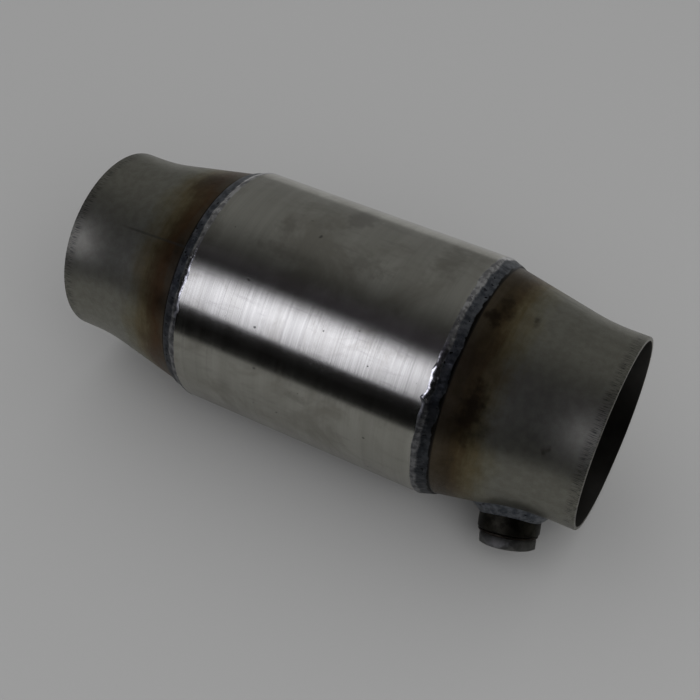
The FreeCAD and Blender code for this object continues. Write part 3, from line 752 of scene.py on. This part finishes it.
paper_grey = (0.33, 0.33, 0.33)
black = (0, 0, 0)
shade_front = -80 * mm
shade_back = 60 * mm
shade_depth = 0.42
paper = Finish("grey_paper", 0.9, metallic=0.0)
paper.surface.inputs["Specular IOR Level"].default_value = 0.2
rays = paper.tree.nodes.new("ShaderNodeLightPath")
shade = paper.step(paper.axes()["Y"], shade_front, shade_back, shade_depth, 0.0, curve="LINEAR")
mirrored_shade = paper.math("MULTIPLY", rays.outputs["Is Glossy Ray"], shade)
floor.data.materials.append(paper.use(paper.mix(mirrored_shade, paper_grey, black)))


# ------------------------------------------------------------------ light
# Soft even light comes from all round, with a soft box on the right that draws out the shadow. The metal
# mirrors a dim studio with one large soft lamp low in front, and a strip of black card below it.

sky_strength = 0.88
sky_white = (1, 1, 1, 1)
backdrop_grey = (0.36, 0.36, 0.36, 1)
sky = bpy.data.worlds.new("soft_light")
bpy.context.scene.world = sky
sky.use_nodes = True
sky_tree = sky.node_tree
background = sky_tree.nodes["Background"]
background.inputs["Strength"].default_value = sky_strength
sky_rays = sky_tree.nodes.new("ShaderNodeLightPath")
sky_colour = sky_tree.nodes.new("ShaderNodeMix")
sky_colour.data_type = "RGBA"
sky_colour.inputs["A"].default_value = sky_white
sky_colour.inputs["B"].default_value = backdrop_grey
sky_tree.links.new(sky_rays.outputs["Is Camera Ray"], sky_colour.inputs["Factor"])
sky_result = next(out for out in sky_colour.outputs if out.type == "RGBA")
sky_tree.links.new(sky_result, background.inputs["Color"])

# the soft box is kept out of the metal's reflections
box_light = bpy.data.lights.new("soft_box", "AREA")
box_light.shape = "SQUARE"
box_light.size = 1.0
box_light.energy = 6.0
soft_box = bpy.data.objects.new("soft_box", box_light)
bpy.context.scene.collection.objects.link(soft_box)
box_place = Vector((1.0, -0.7, 0.9))
box_facing = box_place.to_track_quat("Z", "Y").to_matrix().to_4x4()
soft_box.matrix_world = Matrix.Translation(box_place) @ box_facing
soft_box.visible_camera = False
soft_box.visible_glossy = False


def only_mirrored(piece):
    """Shows a piece of the studio in reflections alone: it lights nothing and throws no shadow."""
    piece.visible_camera = False
    piece.visible_diffuse = False
    piece.visible_shadow = False
    piece.visible_transmission = False


studio_radius = 0.8
walls_bm = bmesh.new()
bmesh.ops.create_uvsphere(walls_bm, u_segments=64, v_segments=32, radius=studio_radius)
bmesh.ops.reverse_faces(walls_bm, faces=walls_bm.faces)
walls = placed(walls_bm, "studio_walls")
walls.data.shade_smooth()
only_mirrored(walls)

# the lamp's edges in degrees: elevation from the floor, and azimuth from straight in front to the right
lamp_bottom = (14, 15.5)
lamp_middle = (13, 37)
lamp_top = (37, 57.5)
lamp_left = (-44, -34)
lamp_right = (-14, -4)
ceiling_edge = (50, 58)
lamp_strength = 1.6
lamp_colour = (1.0, 1.0, 1.16)
ceiling_colour = (1.0, 0.90, 1.18)

glow = Finish("studio_glow", 1.0)
x, y, z = glow.axes(glow.vector("NORMALIZE", glow.place))
azimuth = glow.math("ARCTAN2", x, glow.math("MULTIPLY", y, -1.0))
elevation = glow.math("ARCSINE", z)


def across_edge(angle, edge, below=0.0, above=1.0):
    """Goes smoothly from one value to another between the two degrees of an edge."""
    return glow.step(angle, radians(edge[0]), radians(edge[1]), below, above)


lamp_foot = across_edge(elevation, lamp_bottom)
lamp_body = across_edge(elevation, lamp_middle, 0.55, 1.0)
lamp_head = across_edge(elevation, lamp_top, 1.0, 0.0)
left_side = across_edge(azimuth, lamp_left)
right_side = across_edge(azimuth, lamp_right, 1.0, 0.0)
lamp = glow.math("MULTIPLY", glow.math("MULTIPLY", lamp_foot, lamp_body), lamp_head)
lamp = glow.math("MULTIPLY", lamp, glow.math("MULTIPLY", left_side, right_side))
lamp = glow.math("MULTIPLY", lamp, lamp_strength)
wall_level = glow.step(y, -0.5, 0.5, 0.006, 0.15)
ceiling_level = glow.step(y, -0.40, -0.10, 0.028, 0.0)
ceiling = glow.math("MULTIPLY", across_edge(elevation, ceiling_edge), ceiling_level)
colours = glow.tree.nodes.new("ShaderNodeCombineColor")
for channel, lamp_share, ceiling_share in zip(colours.inputs, lamp_colour, ceiling_colour):
    bright = glow.math("MULTIPLY_ADD", lamp, lamp_share, wall_level)
    glow.link(glow.math("MULTIPLY_ADD", ceiling, ceiling_share, bright), channel)
emission = glow.tree.nodes.new("ShaderNodeEmission")
glow.link(colours.outputs[0], emission.inputs["Color"])
glow.link(emission.outputs[0], glow.output.inputs["Surface"])
walls.data.materials.append(glow.material)

# the card stands on the paper's front
card_y = -0.28
card_width = 1.6
card_height = 0.08
card_black = (0.004, 0.004, 0.004)
card_bm = bmesh.new()
bmesh.ops.create_grid(card_bm, x_segments=1, y_segments=1, size=0.5)
card_place = (Matrix.Translation((0, card_y, floor_level + card_height / 2))
              @ Matrix.Rotation(radians(90), 4, "X") @ Matrix.Diagonal((card_width, card_height, 1, 1)))
bmesh.ops.transform(card_bm, matrix=card_place, verts=card_bm.verts)
card = placed(card_bm, "black_card")
only_mirrored(card)
card_finish = Finish("black_card", 1.0, metallic=0.0)
card_finish.surface.inputs["Specular IOR Level"].default_value = 0.0
card.data.materials.append(card_finish.use(card_black))


# ------------------------------------------------------------------ camera
# It stands in front and to the right, half a metre off, and looks down at the part through a 63 mm lens
# on a 36 mm wide sensor.

focal_length = 62.914
sensor_width = 36
camera_place = Vector((0.168967, -0.309882, 0.371152))
camera_right = Vector((0.878249, 0.478203, 0.0))
camera_up = Vector((-0.351937, 0.646353, 0.677029))
camera_back = camera_right.cross(camera_up)

lens = bpy.data.cameras.new("camera")
lens.lens = focal_length
lens.sensor_width = sensor_width
camera = bpy.data.objects.new("camera", lens)
bpy.context.scene.collection.objects.link(camera)
camera_facing = Matrix((camera_right, camera_up, camera_back)).transposed().to_4x4()
camera.matrix_world = Matrix.Translation(camera_place) @ camera_facing
bpy.context.scene.camera = camera
bpy.context.scene.view_settings.view_transform = "Standard"
